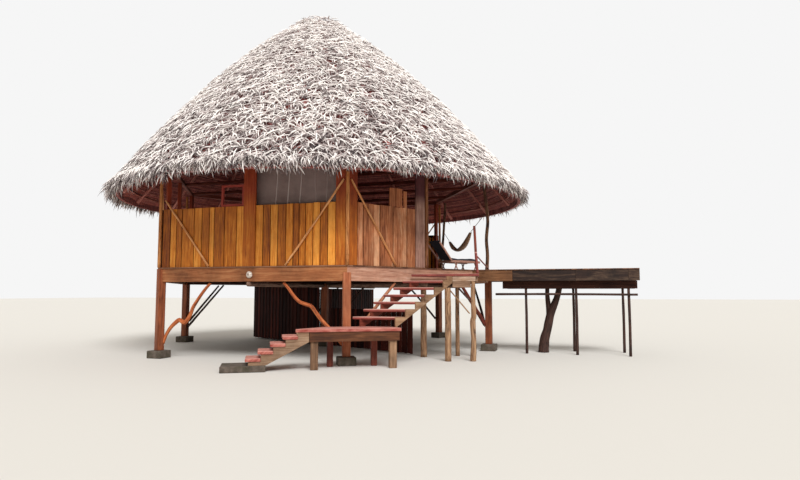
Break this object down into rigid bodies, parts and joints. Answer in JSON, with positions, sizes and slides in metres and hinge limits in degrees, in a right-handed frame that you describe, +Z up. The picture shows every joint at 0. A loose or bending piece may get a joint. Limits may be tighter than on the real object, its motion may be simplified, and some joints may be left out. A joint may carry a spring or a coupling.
{
  "type": "stilt house",
  "caption": "Six-sided board-walled stilt house with a deep palm thatch roof, an open veranda, a stair in two flights and a raised walkway.",
  "frame": {"origin": "centre of the six-sided plan on the ground, at the underside of the centre post's footing", "axes": "+Z up, X along the front wall towards the walkway, the front wall faces -Y"},
  "size_m": [16.215, 13.4409, 11.05],
  "materials": {
    "concrete": "rough weathered concrete",
    "red_brown_timber": "oiled and weathered red-brown boards",
    "dark_timber": "dark rough-sawn timber and poles",
    "peeled_pole": "peeled natural poles, grey-brown",
    "red_branch": "stained crooked branches",
    "floor_board": "worn floor boards",
    "wall_board": "natural boards, oiled",
    "red_board": "red-stained boards",
    "red_paint": "worn red paint",
    "pale_timber": "pale bare timber",
    "palm_thatch": "weathered palm leaf strips",
    "screen_cloth": "thin grey cloth",
    "hammock_cloth": "woven brown cloth and cord",
    "lounger_wood": "bare reddish wood",
    "dark_cushion": "dark cloth pad",
    "lamp_glass": "cream diffuser"
  },
  "bodies": {
    "root": {"footings": "concrete", "floor_posts": "red_brown_timber", "rim_boards": "red_brown_timber", "walk_frame": "red_brown_timber", "floor_bearers": "dark_timber", "floor_joists": "dark_timber", "store_walls": "dark_timber", "rafters": "dark_timber", "ring_purlins": "dark_timber", "wall_plates": "dark_timber", "wall_rails": "dark_timber", "wall_posts": "dark_timber", "floor_poles": "peeled_pole", "face_poles": "peeled_pole", "natural_posts": "peeled_pole", "walk_posts": "peeled_pole", "veranda_poles": "peeled_pole", "post_braces": "red_branch", "floor_deck": "floor_board", "walk_deck": "floor_board", "front_wall": "wall_board", "right_wall": "wall_board", "left_wall": "wall_board", "back_left_wall": "wall_board", "back_wall": "wall_board", "veranda_wall": "wall_board", "tall_boards": "red_board", "window_frame": "red_board", "upper_treads": "red_paint", "landing": "red_paint", "newel": "red_paint", "lower_flight": "pale_timber", "landing_legs": "pale_timber", "upper_stringers": "pale_timber", "platform": "pale_timber", "thatch_walk_side": "palm_thatch", "thatch_back_right": "palm_thatch", "thatch_back_left": "palm_thatch", "thatch_left": "palm_thatch", "thatch_front": "palm_thatch", "thatch_right": "palm_thatch", "thatch_cap": "palm_thatch", "curtain": "screen_cloth", "hammock": "hammock_cloth", "lounger_frame": "lounger_wood", "lounger_pad": "dark_cushion", "lamp": "lamp_glass"}
  },
  "joints": []
}
